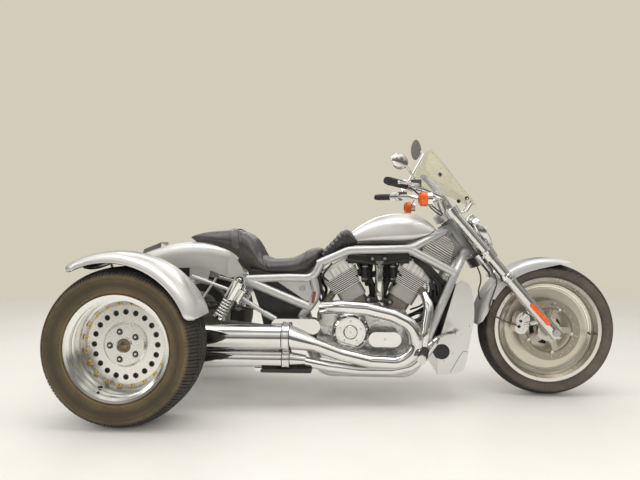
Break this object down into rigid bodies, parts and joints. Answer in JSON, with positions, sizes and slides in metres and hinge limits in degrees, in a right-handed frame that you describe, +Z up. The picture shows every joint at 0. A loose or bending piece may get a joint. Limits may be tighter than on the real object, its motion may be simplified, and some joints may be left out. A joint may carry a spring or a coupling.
{
  "type": "motorized trike",
  "caption": "Three-wheeled V-twin cruiser motorcycle: steered disc front wheel in a raked fork, two wide dished rear wheels under cycle fenders, saddle and small screen.",
  "frame": {"origin": "on the ground in the middle of the whole length and width", "axes": "+X forward to the front wheel, +Y to the rider's left, +Z up"},
  "size_m": [2.55, 1.254, 1.3515],
  "materials": {
    "silver_paint": "metallic silver lacquer",
    "frame_silver": "satin silver powder coat",
    "chrome": "bright chrome",
    "polished_alloy": "polished aluminium",
    "satin_alloy": "satin cast aluminium",
    "champagne_alloy": "satin champagne aluminium",
    "black_metal": "satin black",
    "steel": "ground steel",
    "tyre": "aged tyre rubber",
    "rubber": "black rubber",
    "black_leather": "grained black leather",
    "screen": "clear, faintly tinted",
    "lamp_lens": "clear",
    "red_lens": "dark red lens",
    "amber_lens": "amber lens",
    "nacelle_grey": "gloss grey"
  },
  "bodies": {
    "chassis": {"airbox": "black_metal", "belt_drive": "rubber", "centre_pipe": "chrome", "crankcase": "satin_alloy", "engine_covers": "chrome", "exhaust_headers": "chrome", "foot_controls": "chrome", "frame_left": "frame_silver", "frame_right": "frame_silver", "front_cylinder": "satin_alloy", "fuel_cell": "black_metal", "muffler_clamp": "chrome", "mufflers": "chrome", "radiator": "black_metal", "radiator_shroud": "silver_paint", "rear_axle": "black_metal", "rear_cylinder": "satin_alloy", "rear_fender_left": "silver_paint", "rear_fender_right": "silver_paint", "seat": "black_leather", "shock_springs": "chrome", "shocks": "chrome", "side_grilles": "satin_alloy", "steering_head": "frame_silver", "subframe": "frame_silver", "swingarm": "chrome", "tail_fender": "silver_paint", "tail_lamp": "red_lens", "tank_bib": "black_leather", "tank_cover": "silver_paint"},
    "fork": {"lower_clamp": "chrome", "upper_clamp": "chrome", "fork_legs": "polished_alloy", "front_axle": "chrome", "front_calipers": "polished_alloy", "front_fender": "silver_paint", "headlamp": "chrome", "headlamp_lens": "lamp_lens", "handlebar": "chrome", "grips": "rubber", "hand_controls": "chrome", "mirrors": "chrome", "turn_signals": "amber_lens", "instrument_nacelle": "nacelle_grey", "windscreen": "screen", "screen_brackets": "chrome"},
    "front_wheel": {"front_tyre": "tyre", "front_wheel": "champagne_alloy", "front_rotors": "steel"},
    "rear_wheel_right": {"rear_tyre_right": "tyre", "rear_wheel_right": "polished_alloy"},
    "rear_wheel_left": {"rear_tyre_left": "tyre", "rear_wheel_left": "polished_alloy"}
  },
  "joints": [
    {"name": "steering", "type": "hinge", "parent": "chassis", "child": "fork", "pos_m": [0.52771, 0, 0.77432], "axis": [-0.5592, 0, 0.829], "range_deg": [-27, 27]},
    {"name": "front_wheel_spin", "type": "hinge", "parent": "fork", "child": "front_wheel", "pos_m": [0.951, 0, 0.325], "axis": [0, 1, 0], "continuous": true},
    {"name": "rear_wheel_right_spin", "type": "hinge", "parent": "chassis", "child": "rear_wheel_right", "pos_m": [-0.949, -0.505, 0.327], "axis": [0, 1, 0], "continuous": true},
    {"name": "rear_wheel_left_spin", "type": "hinge", "parent": "chassis", "child": "rear_wheel_left", "pos_m": [-0.949, 0.505, 0.327], "axis": [0, 1, 0], "continuous": true}
  ]
}
